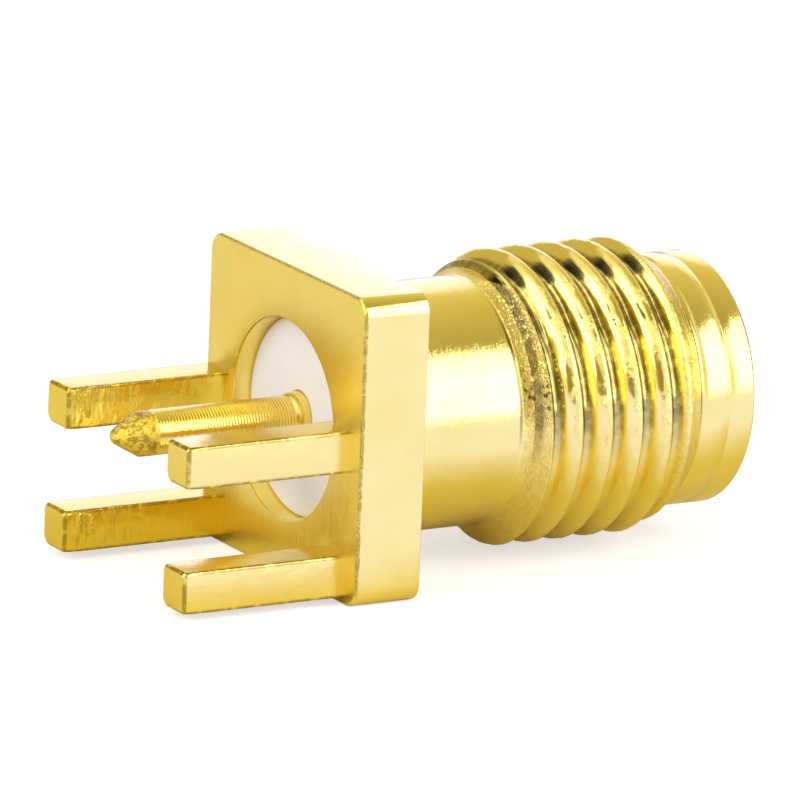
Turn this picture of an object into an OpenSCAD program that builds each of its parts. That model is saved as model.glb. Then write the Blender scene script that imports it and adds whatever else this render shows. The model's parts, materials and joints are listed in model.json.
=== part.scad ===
// Coaxial screw-on jack that straddles the edge of a printed circuit board.
// One turned and milled body carries a flange, four board legs, a neck and a threaded barrel.
// An insulator is pressed into its through bore, and a turned contact sits in the insulator.
//
// Frame: +X runs along the axis towards the mating end and +Z is up, away from the board.
// The origin is on the axis, in the flange's rear face, where the board's edge stops.

/* [Flange] */
// Side of the square flange
flange_side = 6.45; // [6:0.05:8]
// Thickness of the flange
flange_thickness = 1.5; // [0.8:0.05:2]
// Radius of the flange's four corners
flange_corner_r = 0.4; // [0.1:0.05:0.8]

/* [Board and legs] */
// Thickness of the board that the legs straddle
board_thickness = 1.6; // [1:0.1:1.7]
// Play between the board and the lower legs
board_play = 0.12; // [0.05:0.01:0.2]
// Length of the legs behind the flange
leg_length = 3.72; // [2:0.02:6]
// Width of a leg, across the board's edge
leg_width = 0.9; // [0.6:0.05:1]
// Height of a leg
leg_height = 0.88; // [0.5:0.02:0.95]
// Distance between the middles of the left and the right legs
leg_pitch = 5.08; // [4.9:0.02:5.1]
// Sideways offset of all four legs from the axis
leg_offset = 0.235; // [0:0.005:0.25]
// Bevel on the edges of a leg's end
leg_bevel = 0.08; // [0.02:0.01:0.15]

/* [Neck and barrel] */
// Diameter of the plain neck
neck_d = 5.15; // [4.8:0.05:5.3]
// Distance from the flange's rear face to the foot of the barrel
barrel_foot = 4.26; // [3.5:0.02:6]
// Fillet between the neck and the barrel's rear chamfer
foot_fillet_r = 0.35; // [0.1:0.05:0.4]
// Slope of the rear chamfer, measured from the axis
rear_chamfer_angle = 50; // [40:1:60]
// Distance from the flange's rear face to the front end
front_end = 9.7; // [9:0.05:14]
// Length of the unthreaded lip at the front
lip_length = 1.3; // [0.6:0.05:1.4]
// Diameter of the unthreaded lip
lip_d = 5.25; // [5:0.05:5.4]
// Slope of the front chamfer, measured from the axis
front_chamfer_angle = 37; // [30:1:60]
// Rounding of the front rim
rim_r = 0.1; // [0.05:0.01:0.15]

/* [Thread] */
// Diameter over the thread's crests
thread_d = 6.12; // [5.9:0.01:6.33]
// Pitch of the thread, 36 turns to the inch
thread_pitch = 0.7056; // [0.5:0.0001:1]
// Width of the flat on each crest
crest_flat = 0.22; // [0.15:0.01:0.3]
// Diameter at the bottom of the thread's groove
thread_root_d = 5.5; // [5.45:0.01:5.7]
// How far behind the barrel's foot the groove's middle passes over the top of the part
groove_lead = 0.28; // [0.25:0.01:0.6]

/* [Bores] */
// Diameter of the through bore, which is also the insulator's
insulator_d = 4.17; // [3.9:0.01:4.3]
// Diameter of the bore that takes the mating plug
plug_bore_d = 4.6; // [4.4:0.01:4.7]
// Depth of the plug's bore, down to the reference plane
plug_bore_depth = 1.93; // [1.5:0.01:2.5]
// Chamfer inside the front rim
mouth_chamfer = 0.08; // [0.03:0.01:0.12]

/* [Insulator] */
// Depth of the insulator's rear face inside the flange
insulator_recess = 0.38; // [0.1:0.01:0.8]
// Bevel round the insulator's rear face
insulator_bevel = 0.12; // [0.05:0.01:0.3]

/* [Contact] */
// Diameter of the pin that is soldered to the board
pin_d = 0.94; // [0.7:0.01:1]
// How far the pin's tip stands beyond the legs
pin_overhang = 0.26; // [0:0.02:0.6]
// Radius of the pin's nose
nose_r = 0.2; // [0.1:0.01:0.25]
// Slope of the pin's point, measured from the axis
point_angle = 30; // [20:1:45]
// Diameter of the collar between the pin and the socket, at its rounded shoulder
collar_d = 1.06; // [1.03:0.01:1.15]
// Length of collar that stands out of the insulator, with its shoulder
collar_reach = 0.3; // [0.2:0.01:0.36]
// Radius of the shoulder from the pin up to the collar
shoulder_r = 0.3; // [0.15:0.01:0.5]
// How much wider the collar is at the socket's seat, which wedges it in the insulator
collar_taper = 0.02; // [0.01:0.01:0.04]
// Outer diameter of the socket
socket_d = 1.27; // [1.2:0.01:1.4]
// Depth inside the insulator at which the socket's tapered seat starts
seat_depth = 0.04; // [0.02:0.01:0.2]
// Slope of the seat, measured from the axis
seat_angle = 30; // [20:1:60]
// Depth of the socket's mouth behind the reference plane
socket_recess = 0.1; // [0:0.01:0.25]
// Diameter of the socket's bore
socket_bore_d = 0.93; // [0.9:0.01:0.98]
// Depth of the socket's bore
socket_bore_depth = 2.9; // [2.4:0.05:3.1]
// Number of slots in the socket's wall
slot_count = 4; // [2:1:4]
// Width of a slot
slot_width = 0.14; // [0.1:0.01:0.15]
// Length of a slot
slot_length = 1.7; // [1:0.05:2.2]
// Height of the barb that holds the socket in the insulator
barb_height = 0.06; // [0.03:0.01:0.1]
// Length of the barb's ramp
barb_length = 0.3; // [0.2:0.01:0.5]
// Distance from the seat's start to the barb
barb_start = 1.6; // [1:0.1:2.5]
// Radial play between the contact and the insulator
contact_play = 0.01; // [0.005:0.005:0.03]

/* [Hidden] */

// Facets of a full circle
round_fn = 96;
// Step between the points of a rounded outline, in degrees
arc_step = 10;
// Facets of one turn of the thread
thread_steps = 36;
// Overshoot of a cut past the face that it leaves
overshoot = 1;

gold = [0.90, 0.74, 0.33];
contact_gold = [0.86, 0.70, 0.30];
insulator_white = [0.94, 0.93, 0.90];

// Radii
neck_r = neck_d / 2;
lip_r = lip_d / 2;
crest_r = thread_d / 2;
root_r = thread_root_d / 2;
insulator_r = insulator_d / 2;
plug_bore_r = plug_bore_d / 2;
pin_r = pin_d / 2;
collar_r = collar_d / 2;
seat_r = collar_r + collar_taper / 2;
socket_r = socket_d / 2;
socket_bore_r = socket_bore_d / 2;

// Places along the axis
reference_plane = front_end - plug_bore_depth;
lip_start = front_end - lip_length;
rear_crest = barrel_foot + (crest_r - neck_r) / tan(rear_chamfer_angle);
front_crest = lip_start - (crest_r - lip_r) / tan(front_chamfer_angle);
pin_tip = -leg_length - pin_overhang;
collar_start = insulator_recess - collar_reach;
seat_start = insulator_recess + seat_depth;
seat_end = seat_start + (socket_r - seat_r) / tan(seat_angle);
barb_crest = seat_start + barb_start + barb_length;
socket_mouth = reference_plane - socket_recess;

// Heights: the pin and the upper legs lie on the board's top face
board_top = -pin_r;
board_bottom = board_top - board_thickness - board_play;

// Half of the 60 degree angle between a groove's flanks
flank_angle = 30;
groove_depth = crest_r - root_r;
flank_run = groove_depth * tan(flank_angle);
root_flat = thread_pitch - crest_flat - 2 * flank_run;

// Points [radius, place] of an arc, from angle a0 to a1 about a centre
function arc(centre, r, a0, a1) =
    let (steps = max(1, ceil(abs(a1 - a0) / arc_step)))
    [for (i = [0:steps]) let (a = a0 + (a1 - a0) * i / steps) centre + r * [cos(a), sin(a)]];

// Turns an outline of [radius, place] points about the X axis
module turned(outline) {
    rotate([0, 90, 0])
        rotate_extrude($fn = round_fn)
            polygon(outline);
}

// Cylinder along the X axis
module bar(r, from, to) {
    translate([from, 0, 0])
        rotate([0, 90, 0])
            cylinder(r = r, h = to - from, $fn = round_fn);
}

module rounded_square(side, corner_r) {
    inner = side - 2 * corner_r;
    square([side, inner], center = true);
    square([inner, side], center = true);
    for (u = [-1, 1], v = [-1, 1])
        translate([u, v] * inner / 2)
            circle(r = corner_r, $fn = round_fn);
}

// Stretch of the square bar that the body is machined from
module stock(from, to) {
    translate([from, 0, 0])
        rotate([0, 90, 0])
            linear_extrude(to - from)
                rounded_square(flange_side, flange_corner_r);
}

module flange() {
    stock(0, flange_thickness);
}

// Outline of a leg in one plane, from the middle of the flange to a bevelled end
module leg_outline(breadth) {
    half = breadth / 2;
    polygon([
        [flange_thickness / 2, -half],
        [flange_thickness / 2, half],
        [leg_bevel - leg_length, half],
        [-leg_length, half - leg_bevel],
        [-leg_length, leg_bevel - half],
        [leg_bevel - leg_length, -half]
    ]);
}

module leg() {
    intersection() {
        translate([0, 0, -leg_height / 2])
            linear_extrude(leg_height)
                leg_outline(leg_width);
        rotate([90, 0, 0])
            translate([0, 0, -leg_width / 2])
                linear_extrude(leg_width)
                    leg_outline(leg_height);
    }
}

// Upper legs stand on the board, lower legs pass beneath it, and the bar's corners stay on them
module legs() {
    intersection() {
        stock(-leg_length, flange_thickness / 2);
        for (side = [-1, 1], z = [board_top + leg_height / 2, board_bottom - leg_height / 2])
            translate([0, leg_offset + side * leg_pitch / 2, z])
                leg();
    }
}

// Neck, chamfered barrel and plain lip, before the thread is cut
module barrel() {
    fillet_place = barrel_foot - foot_fillet_r * tan(rear_chamfer_angle / 2);
    fillet_centre = [neck_r + foot_fillet_r, fillet_place];
    rim_centre = [lip_r - rim_r, front_end - rim_r];
    turned(concat(
        [[0, flange_thickness / 2], [neck_r, flange_thickness / 2]],
        arc(fillet_centre, foot_fillet_r, 180, 180 - rear_chamfer_angle),
        [[crest_r, rear_crest], [crest_r, front_crest], [lip_r, lip_start]],
        arc(rim_centre, rim_r, 0, 90),
        [[0, front_end]]
    ));
}

// Right-handed cutter for the thread's groove, from behind the rear chamfer to past the lip's start
module thread_groove() {
    // Depth of the cutter outside the crests, where its turns must stay apart
    clear = crest_flat / 4 / tan(flank_angle);
    half_top = root_flat / 2 + (groove_depth + clear) * tan(flank_angle);
    section = [
        [root_r, -root_flat / 2],
        [root_r, root_flat / 2],
        [crest_r + clear, half_top],
        [crest_r + clear, -half_top]
    ];
    corners = len(section);
    first = barrel_foot - groove_lead;
    rings = ceil((lip_start + root_flat - first) / thread_pitch * thread_steps);
    points = [
        for (i = [0:rings], p = section)
            let (a = i * 360 / thread_steps)
            [first + i * thread_pitch / thread_steps + p[1], -p[0] * sin(a), p[0] * cos(a)]
    ];
    walls = [
        for (i = [0:rings - 1], k = [0:corners - 1])
            let (a = corners * i + k, b = corners * i + (k + 1) % corners)
            each [[a, a + corners, b + corners], [a, b + corners, b]]
    ];
    start_cap = [for (k = [0:corners - 1]) k];
    end_cap = [for (k = [corners - 1:-1:0]) corners * rings + k];
    polyhedron(points, concat([start_cap], walls, [end_cap]));
}

module body_bores() {
    bar(insulator_r, -overshoot, front_end);
    turned([
        [0, reference_plane],
        [plug_bore_r, reference_plane],
        [plug_bore_r, front_end - mouth_chamfer],
        [plug_bore_r + mouth_chamfer + overshoot, front_end + overshoot],
        [0, front_end + overshoot]
    ]);
}

module body() {
    color(gold)
        difference() {
            union() {
                flange();
                legs();
                difference() {
                    barrel();
                    thread_groove();
                }
            }
            body_bores();
        }
}

// Outside of the socket from its seat to past its barb. The play widens it for the insulator's
// hole and slides it along the seat's slope, so that the two seats still meet face to face.
function socket_outline(play) = [
    [seat_r + play, seat_start + play / tan(seat_angle)],
    [socket_r + play, seat_end + play / tan(seat_angle)],
    [socket_r + play, barb_crest - barb_length],
    [socket_r + barb_height + play, barb_crest],
    [socket_r + play, barb_crest + play]
];

module insulator() {
    color(insulator_white)
        difference() {
            turned([
                [0, insulator_recess],
                [insulator_r - insulator_bevel, insulator_recess],
                [insulator_r, insulator_recess + insulator_bevel],
                [insulator_r, reference_plane],
                [0, reference_plane]
            ]);
            turned(concat(
                [[0, insulator_recess - overshoot], [seat_r + contact_play, insulator_recess - overshoot]],
                socket_outline(contact_play),
                [[socket_r + contact_play, reference_plane + overshoot], [0, reference_plane + overshoot]]
            ));
        }
}

module socket_bore() {
    bottom = socket_mouth - socket_bore_depth;
    drill_point = socket_bore_r / 2;
    turned([
        [0, bottom - drill_point],
        [socket_bore_r, bottom],
        [socket_bore_r, socket_mouth - mouth_chamfer],
        [socket_bore_r + mouth_chamfer + overshoot, socket_mouth + overshoot],
        [0, socket_mouth + overshoot]
    ]);
}

module slots() {
    for (i = [0:slot_count - 1])
        rotate([45 + i * 360 / slot_count, 0, 0])
            translate([socket_mouth - slot_length, 0, -slot_width / 2])
                cube([slot_length + overshoot, socket_r + overshoot, slot_width]);
}

module centre_contact() {
    nose_centre = [0, pin_tip + nose_r];
    nose_end = -point_angle;
    point_end = nose_centre + nose_r * [cos(nose_end), sin(nose_end)];
    pin_start = point_end[1] + (pin_r - point_end[0]) / tan(point_angle);
    shoulder_angle = acos(1 - (collar_r - pin_r) / shoulder_r);
    shoulder_centre = [collar_r - shoulder_r, collar_start + shoulder_r * sin(shoulder_angle)];
    color(contact_gold)
        difference() {
            turned(concat(
                arc(nose_centre, nose_r, -90, nose_end),
                [[pin_r, pin_start]],
                arc(shoulder_centre, shoulder_r, -shoulder_angle, 0),
                socket_outline(0),
                [[socket_r, socket_mouth], [0, socket_mouth]]
            ));
            socket_bore();
            slots();
        }
}

body();
insulator();
centre_contact();
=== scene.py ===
"""Finish of a board-edge coaxial jack: plated body, insulator and slotted contact.

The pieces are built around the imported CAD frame. Lengths are in millimetres in the CAD's own frame,
and meshes are scaled to metres when they are made.
"""

import json
import math

import bmesh
import bpy
import numpy as np
from mathutils import Matrix, Vector


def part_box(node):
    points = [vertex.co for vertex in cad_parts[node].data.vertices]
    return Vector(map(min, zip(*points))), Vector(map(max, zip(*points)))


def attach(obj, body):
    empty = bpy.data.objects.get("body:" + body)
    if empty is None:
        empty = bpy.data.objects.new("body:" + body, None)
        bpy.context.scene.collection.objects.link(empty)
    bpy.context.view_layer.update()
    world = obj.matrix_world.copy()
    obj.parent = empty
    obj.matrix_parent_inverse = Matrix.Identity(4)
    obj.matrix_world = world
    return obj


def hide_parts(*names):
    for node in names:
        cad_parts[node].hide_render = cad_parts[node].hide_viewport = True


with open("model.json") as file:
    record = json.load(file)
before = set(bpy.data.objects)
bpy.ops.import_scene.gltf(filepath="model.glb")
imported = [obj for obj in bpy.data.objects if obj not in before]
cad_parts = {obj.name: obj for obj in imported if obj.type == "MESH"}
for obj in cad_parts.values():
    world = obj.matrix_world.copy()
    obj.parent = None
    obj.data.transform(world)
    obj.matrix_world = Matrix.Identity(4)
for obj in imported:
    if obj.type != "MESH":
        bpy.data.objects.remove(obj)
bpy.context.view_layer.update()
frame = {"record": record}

MM = 0.001
TURN = 2 * math.pi

# ---------------------------------------------------------------- sizes from the frame


def box_mm(node):
    """Lowest and highest corner of a CAD node, in millimetres."""
    return [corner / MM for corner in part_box(node)]


MOUNTS = {mount["name"]: mount for mount in frame["record"]["mounts"]}


def mount_radius(name):
    return MOUNTS[name]["dims"]["r_mm"]


body_low, body_high = box_mm("body")
insulator_low, insulator_high = box_mm("insulator")
contact_low, contact_high = box_mm("centre_contact")

leg_end = body_low.x
front_end = body_high.x
half_side = body_high.z
insulator_rear = insulator_low.x
reference_plane = insulator_high.x
insulator_r = insulator_high.z
pin_tip = contact_low.x
socket_mouth = contact_high.x
pin_r = mount_radius("solder_pin")
crest_r = mount_radius("coupling_thread")
plug_bore_r = mount_radius("plug_bore")
socket_bore_r = mount_radius("contact_socket")
slot_middle_z = MOUNTS["board_slot"]["pos_m"][2] / MM
leg_offset = MOUNTS["board_slot"]["pos_m"][1] / MM

# ---------------------------------------------------------------- sizes that the frame doesn't name

FLANGE_THICKNESS = 1.5
FLANGE_CORNER_R = 0.4
FLANGE_EDGE_R = 0.06
NECK_R = 2.575
NECK_ROOT_R = 0.05
LEG_WIDTH = 0.9
LEG_HEIGHT = 0.88
LEG_PITCH = 5.08
BARREL_FOOT = 4.26
FOOT_FILLET_R = 0.35
REAR_CHAMFER = math.radians(50)
FRONT_CHAMFER = math.radians(37)
LIP_LENGTH = 1.3
LIP_R = 2.625
RIM_R = 0.1
MOUTH_CHAMFER = 0.08
PITCH = 0.7056
ROOT_R = 2.75
CREST_FLAT = 0.22
GROOVE_LEAD = 0.28
FLANK_ANGLE = math.radians(30)
COLLAR_R = 0.53
SEAT_R = 0.54
SOCKET_R = 0.635
EDGE_BREAK = 0.02

lip_start = front_end - LIP_LENGTH
flank_slope = 1 / math.tan(FLANK_ANGLE)
flank_run = (crest_r - ROOT_R) / flank_slope
root_half = (PITCH - CREST_FLAT) / 2 - flank_run
groove_half = root_half + flank_run

# ---------------------------------------------------------------- mesh helpers

SMOOTH_ANGLE = math.radians(32)
# a boolean leaves doubled points closer than this
MERGE_DISTANCE = 0.00001
# longest steps along the outlines of turned surfaces
NECK_STEP = 0.35
LIP_STEP = 0.3
BORE_STEP = 0.8
NOISE_ROWS = 64


def new_object(name, vertices, faces, materials, face_materials=None):
    """Mesh object from millimetre points, with its faces turned outwards."""
    mesh = bpy.data.meshes.new(name)
    mesh.from_pydata([[c * MM for c in v] for v in vertices], [], faces)
    if face_materials is not None:
        mesh.polygons.foreach_set("material_index", face_materials)
    mesh.validate()
    for material in materials:
        mesh.materials.append(material)
    obj = bpy.data.objects.new(name, mesh)
    bpy.context.scene.collection.objects.link(obj)
    work = bmesh.new()
    work.from_mesh(mesh)
    bmesh.ops.recalc_face_normals(work, faces=work.faces)
    if work.calc_volume(signed=True) < 0:
        bmesh.ops.reverse_faces(work, faces=work.faces)
    work.to_mesh(mesh)
    work.free()
    shade(mesh)
    return obj


def shade(mesh):
    """Smooth shading that stops at sharp edges."""
    mesh.polygons.foreach_set("use_smooth", [True] * len(mesh.polygons))
    mesh.set_sharp_from_angle(angle=SMOOTH_ANGLE)


def combine(obj, tools, operation):
    """Joins the tools to obj, or cuts them out of it, and removes them."""
    for tool in tools:
        modifier = obj.modifiers.new(operation, "BOOLEAN")
        modifier.operation = operation
        modifier.solver = "MANIFOLD"
        modifier.object = tool
        bpy.context.view_layer.objects.active = obj
        bpy.ops.object.modifier_apply(modifier=modifier.name)
        bpy.data.objects.remove(tool)
    work = bmesh.new()
    work.from_mesh(obj.data)
    bmesh.ops.remove_doubles(work, verts=work.verts, dist=MERGE_DISTANCE * MM)
    work.to_mesh(obj.data)
    work.free()
    shade(obj.data)


def smooth_min(a, b, width):
    """The smaller of a and b, with the corner between them rounded over width."""
    near = np.maximum(width - np.abs(a - b), 0) / width
    return np.minimum(a, b) - near * near * width / 4


def smooth_max(a, b, width):
    return -smooth_min(-a, -b, width)


def circle(x, r, angles):
    """Points round the X axis. Angle 0 is the top, and the angle grows towards -Y."""
    x = np.broadcast_to(x, angles.shape)
    r = np.broadcast_to(r, angles.shape)
    return np.stack([x, -r * np.sin(angles), r * np.cos(angles)], axis=1)


def arc(centre, r, start, end, steps):
    """[place, radius] points of an arc in the plane through the axis, by angles in degrees from +X."""
    points = []
    for i in range(steps + 1):
        a = math.radians(start + (end - start) * i / steps)
        points.append([centre[0] + r * math.cos(a), centre[1] + r * math.sin(a)])
    return points


def below(place, radius, profile):
    """[place, radius] points of a profile given as (distance in front of place, depth below radius)."""
    return [[place + run, radius - depth] for run, depth in profile]


def split_long(outline, longest):
    """The outline with extra points, so that no step is longer than longest."""
    made = [outline[0]]
    for a, b in zip(outline, outline[1:]):
        steps = max(1, math.ceil(math.dist(a, b) / longest))
        for i in range(1, steps + 1):
            made.append([a[0] + (b[0] - a[0]) * i / steps, a[1] + (b[1] - a[1]) * i / steps])
    return made


class Shell:
    """A surface made of rings with the same number of columns, closed round the axis."""

    def __init__(self, columns):
        self.columns = columns
        self.angles = np.arange(columns) * TURN / columns
        self.points = []
        self.faces = []
        self.face_materials = []

    def add_ring(self, ring):
        first = len(self.points)
        self.points.extend(ring.tolist())
        return list(range(first, first + self.columns))

    def join(self, ids_a, ids_b, material=0):
        """Quads between two rings of point numbers."""
        for i in range(self.columns):
            k = (i + 1) % self.columns
            self.add_face([ids_a[i], ids_b[i], ids_b[k], ids_a[k]], material)

    def add_face(self, corner_shade, material=0):
        kept = [c for i, c in enumerate(corner_shade) if c != corner_shade[i - 1]]
        if len(kept) > 2:
            self.faces.append(kept)
            self.face_materials.append(material)

    def turn(self, outline, start, material=0):
        """Rings through the outline's [place, radius] points, joined on to the ring start."""
        for x, r in outline:
            ring = self.add_ring(circle(x, r, self.angles))
            if start is not None:
                self.join(start, ring, material)
            start = ring
        return start

    def cap(self, ring, x):
        """Closes a ring with a fan to a point on the axis."""
        self.points.append([x, 0, 0])
        tip = len(self.points) - 1
        for i in range(self.columns):
            self.add_face([ring[i], ring[(i + 1) % self.columns], tip])


def lattice_noise(x, angle, cell_length, cells, seed):
    """Smooth random numbers from -1 to 1, in cells of cell_length along X and so many in one turn."""
    table = np.random.default_rng(seed).uniform(-1, 1, (NOISE_ROWS, cells))
    u = x / cell_length
    v = (angle / TURN * cells) % cells
    u0 = np.floor(u).astype(int)
    v0 = np.floor(v).astype(int)
    fu = (u - u0) ** 2 * (3 - 2 * (u - u0))
    fv = (v - v0) ** 2 * (3 - 2 * (v - v0))

    def at(i, j):
        return table[i % NOISE_ROWS, j % cells]

    low = at(u0, v0) * (1 - fv) + at(u0, v0 + 1) * fv
    high = at(u0 + 1, v0) * (1 - fv) + at(u0 + 1, v0 + 1) * fv
    return low * (1 - fu) + high * fu


# ---------------------------------------------------------------- body

TURNED, THREADED, FLANGE, MILLED = range(4)
BODY_COLUMNS = 288
THREAD_START = 4.375
THREAD_END = 8.32
# the rear flanks are a little less steep than the front ones
REAR_FLANK_SLOPE = math.tan(math.radians(54))
REAR_CREST_ROUNDING = 0.17
FRONT_CREST_ROUNDING = 0.07
ROOT_ROUNDING = 0.07
BARREL_ROUNDING = 0.03
BURR = 0.007
# how far below the crests the burr reaches, and how far above the root it stops
BURR_REACH = 0.12
BURR_STOP = 0.1
# cell length along X, cells in one turn and seed
FINE_BURR = (0.05, 220, 1)
COARSE_BURR = (0.13, 90, 2)
# places of the thread's rows: from the groove's middle, from the root's edge, as a share of the flank,
# and from the crest's edges
ROOT_ROWS = (0.022, 0.044)
ROOT_EDGE_ROWS = (-0.008, 0.0, 0.01, 0.024)
FLANK_ROWS = (0.25, 0.4, 0.55)
REAR_EDGE_ROWS = (-0.10, -0.075, -0.05, -0.033, -0.018, -0.006, 0.006, 0.018, 0.03, 0.042)
FRONT_EDGE_ROWS = (-0.045, -0.02, -0.009, 0.0, 0.009, 0.02, 0.034, 0.06)
# rows closer than this to the thread's ends fall on the end rings
ROW_MARGIN = 0.002
# profiles as (distance in front of a place, depth)
CHAMFER_END = ((0.03, 0.022),)
LIP_RELIEF = ((-0.02, 0.012), (0.02, 0.035), (0.06, 0.042), (0.10, 0.030), (0.14, 0.004), (0.16, 0.0))
TOOL_LINE = ((-0.03, 0.0), (-0.01, 0.012), (0.01, 0.012), (0.03, 0.0))
MOUTH_OUTER_EDGE = ((0.0, -0.01), (-0.006, 0.0))
MOUTH_INNER_EDGE = ((0.0, -0.004), (-0.01, 0.0))
REAR_HOLE_EDGE = ((0.04, 0.0), (0.012, -0.01), (0.0, -0.035))
# how far the tool line lies behind the front end
TOOL_LINE_BACK = 0.6


def barrel_radius(x):
    """Radius of the barrel before the thread is cut."""
    rear = NECK_R + (x - BARREL_FOOT) * math.tan(REAR_CHAMFER)
    front = LIP_R + (lip_start - x) * math.tan(FRONT_CHAMFER)
    full = np.full_like(x, crest_r)
    return smooth_min(smooth_min(rear, full, BARREL_ROUNDING), front, BARREL_ROUNDING)


def thread_radius(x, angle):
    """Radius of the threaded barrel, with its groove, rounded edges and a trace of burr."""
    turns = (x - (BARREL_FOOT - GROOVE_LEAD)) / PITCH - angle / TURN
    phase = turns - np.round(turns)
    from_groove = PITCH * np.abs(phase)
    crest_rounding = np.where(phase > 0, REAR_CREST_ROUNDING, FRONT_CREST_ROUNDING)
    slope = np.where(phase > 0, REAR_FLANK_SLOPE, flank_slope)
    flank = ROOT_R + (from_groove - root_half) * slope
    groove = smooth_max(np.full_like(x, ROOT_R), flank, ROOT_ROUNDING)
    rough = lattice_noise(x, angle, *FINE_BURR) + lattice_noise(x, angle, *COARSE_BURR)
    near_crest = np.clip((flank - crest_r) / BURR_REACH + 1, 0, 1)
    surface = smooth_min(groove, barrel_radius(x), crest_rounding)
    return surface - BURR * near_crest * (0.5 + 0.5 * rough) * (surface > ROOT_R + BURR_STOP)


def thread_rows():
    """Places of the thread's rows along one pitch, from the middle of the groove."""
    rear_half = root_half + (crest_r - ROOT_R) / REAR_FLANK_SLOPE
    both = list(ROOT_ROWS) + [root_half + d for d in ROOT_EDGE_ROWS]
    both += [root_half + flank_run * share for share in FLANK_ROWS]
    rear = [rear_half + d for d in REAR_EDGE_ROWS]
    front = [groove_half + d for d in FRONT_EDGE_ROWS]
    return sorted([0.0, -PITCH / 2] + both + rear + [-place for place in both + front])


def add_thread(shell, start):
    """Rows that follow the helix, joined to the ring start. Returns the ring at the thread's front end."""
    columns = shell.columns
    rows = thread_rows()
    turns_back = math.ceil((THREAD_START - BARREL_FOOT) / PITCH) + 3
    turns_on = math.ceil((THREAD_END - BARREL_FOOT) / PITCH) + 2
    first = BARREL_FOOT - GROOVE_LEAD
    places = np.array([first + k * PITCH + row for k in range(-turns_back, turns_on) for row in rows])
    angles = shell.angles
    end_radii = thread_radius(np.full(columns, THREAD_END), angles)
    end = shell.add_ring(circle(THREAD_END, end_radii, angles))
    ids = np.zeros((len(places), columns + 1), int)
    for j, place in enumerate(places):
        x = place + PITCH * angles / TURN
        radius = thread_radius(x, angles)
        for i in range(columns):
            if x[i] <= THREAD_START + ROW_MARGIN:
                ids[j, i] = start[i]
            elif x[i] >= THREAD_END - ROW_MARGIN:
                ids[j, i] = end[i]
            else:
                ids[j, i] = len(shell.points)
                shell.points.append(circle(x[i], radius[i], angles[i:i + 1])[0].tolist())
    # the last column is the first one, a pitch further on
    per_turn = len(rows)
    shifted = np.minimum(np.arange(len(places)) + per_turn, len(places) - 1)
    ids[:, columns] = ids[shifted, 0]
    for j in range(len(places) - per_turn - 1):
        for i in range(columns):
            shell.add_face([ids[j, i], ids[j + 1, i], ids[j + 1, i + 1], ids[j, i + 1]], THREADED)
    return end


def square_outline(columns, half, corner_r):
    """Rounded square with a ring's columns: a quarter of them in each corner and its two half sides."""
    per_quarter = columns // 4
    in_corner = per_quarter // 3
    per_side = (per_quarter - in_corner) // 2
    inner = half - corner_r
    points = []
    for q in range(4):
        quarter = [[inner * i / per_side, half] for i in range(per_side)]
        for i in range(in_corner):
            a = math.pi / 2 * i / in_corner
            quarter.append([inner + corner_r * math.sin(a), inner + corner_r * math.cos(a)])
        quarter += [[half, inner * (per_side - i) / per_side] for i in range(per_side)]
        turn = q * math.pi / 2
        for u, v in quarter:
            points.append([u * math.cos(turn) + v * math.sin(turn), v * math.cos(turn) - u * math.sin(turn)])
    return [[-u, v] for u, v in points]


def flange_ring(shell, x, inset):
    """Ring of the flange's outline at place x, drawn in by inset."""
    outline = square_outline(shell.columns, half_side - inset, FLANGE_CORNER_R - inset)
    return shell.add_ring(np.array([[x, y, z] for y, z in outline]))


def flange_edges():
    """[place, inset] of the flange's outline, from its rounded front edge to its rounded rear edge."""
    edges = []
    for x_face, inward, r in ((0, 1, FLANGE_EDGE_R), (FLANGE_THICKNESS, -1, FLANGE_EDGE_R / 2)):
        steps = [math.pi / 2 * i / 4 for i in range(5)]
        rounding = [[x_face + inward * r * (1 - math.sin(a)), r * (1 - math.cos(a))] for a in steps]
        edges += rounding[::-1] if inward > 0 else rounding
    return edges


def neck_outline():
    """From the neck's root fillet to the start of the thread on the rear chamfer."""
    foot_x = BARREL_FOOT - FOOT_FILLET_R * math.tan(REAR_CHAMFER / 2)
    foot_end = 270 + math.degrees(REAR_CHAMFER)
    foot = arc([foot_x, NECK_R + FOOT_FILLET_R], FOOT_FILLET_R, 270, foot_end, 8)
    root = arc([FLANGE_THICKNESS + NECK_ROOT_R, NECK_R + NECK_ROOT_R], NECK_ROOT_R, 180, 270, 4)
    return root + split_long([root[-1], foot[0]], NECK_STEP)[1:-1] + foot


def lip_outline():
    """From the front of the thread over the lip and its rim, and back through the bores to the rear face."""
    chamfer_r = LIP_R + (lip_start - THREAD_END) * math.tan(FRONT_CHAMFER)
    chamfer = below(THREAD_END, chamfer_r, CHAMFER_END)
    relief = below(lip_start, LIP_R, LIP_RELIEF)
    line = below(front_end - TOOL_LINE_BACK, LIP_R, TOOL_LINE)
    rim = arc([front_end - RIM_R, LIP_R - RIM_R], RIM_R, 90, 0, 8)
    mouth = below(front_end, plug_bore_r + MOUTH_CHAMFER, MOUTH_OUTER_EDGE)
    mouth += below(front_end - MOUTH_CHAMFER, plug_bore_r, MOUTH_INNER_EDGE)
    step = [[reference_plane + EDGE_BREAK, plug_bore_r], [reference_plane, plug_bore_r - EDGE_BREAK],
            [reference_plane, insulator_r + EDGE_BREAK], [reference_plane - EDGE_BREAK, insulator_r]]
    rear_hole = below(0, insulator_r, REAR_HOLE_EDGE)
    outside = split_long(chamfer + relief + line + rim, LIP_STEP)
    return outside + split_long(mouth + step + rear_hole, BORE_STEP)


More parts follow.
